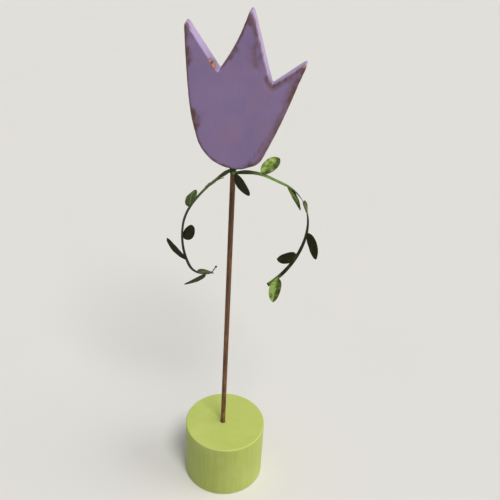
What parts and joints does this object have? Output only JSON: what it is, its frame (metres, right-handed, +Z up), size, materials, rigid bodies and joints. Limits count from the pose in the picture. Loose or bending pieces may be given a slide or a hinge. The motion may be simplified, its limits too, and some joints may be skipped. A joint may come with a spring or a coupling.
{
  "type": "wooden tulip ornament",
  "caption": "Flat wooden tulip with pointed petals on a thin stick in a round wooden foot, with a curling leaf garland under the flower.",
  "frame": {"origin": "centre of the round foot's underside, on the surface that it stands on", "axes": "+Z up along the stick to the flower, -Y the way the flat front of the flower faces, +X to the flower's right as seen from the front"},
  "size_m": [0.0985, 0.064, 0.3801],
  "materials": {
    "purple_paint": "matt purple paint sanded through at the edges",
    "lime_paint": "satin lime green paint with faint brush marks",
    "brown_stick": "brown stained round stick, streaky",
    "green_tape": "narrow green satin tape",
    "green_leaf": "pressed satin leaf, glossy upper side with veins"
  },
  "bodies": {
    "stand": {"base_block": "lime_paint", "stem_rod": "brown_stick", "tulip_head": "purple_paint"},
    "garland": {"garland_tape": "green_tape", "leaf_right_1": "green_leaf", "leaf_right_2": "green_leaf", "leaf_right_3": "green_leaf", "leaf_right_4": "green_leaf", "leaf_right_5": "green_leaf", "leaf_right_6": "green_leaf", "leaf_right_7": "green_leaf", "leaf_left_1": "green_leaf", "leaf_left_2": "green_leaf", "leaf_left_3": "green_leaf", "leaf_left_4": "green_leaf", "leaf_left_5": "green_leaf", "leaf_left_6": "green_leaf"}
  },
  "joints": [
    {"name": "garland_turn", "type": "hinge", "parent": "stand", "child": "garland", "pos_m": [-0.00165, -0.0003, 0.2735], "axis": [0, 0, 1], "continuous": true}
  ]
}
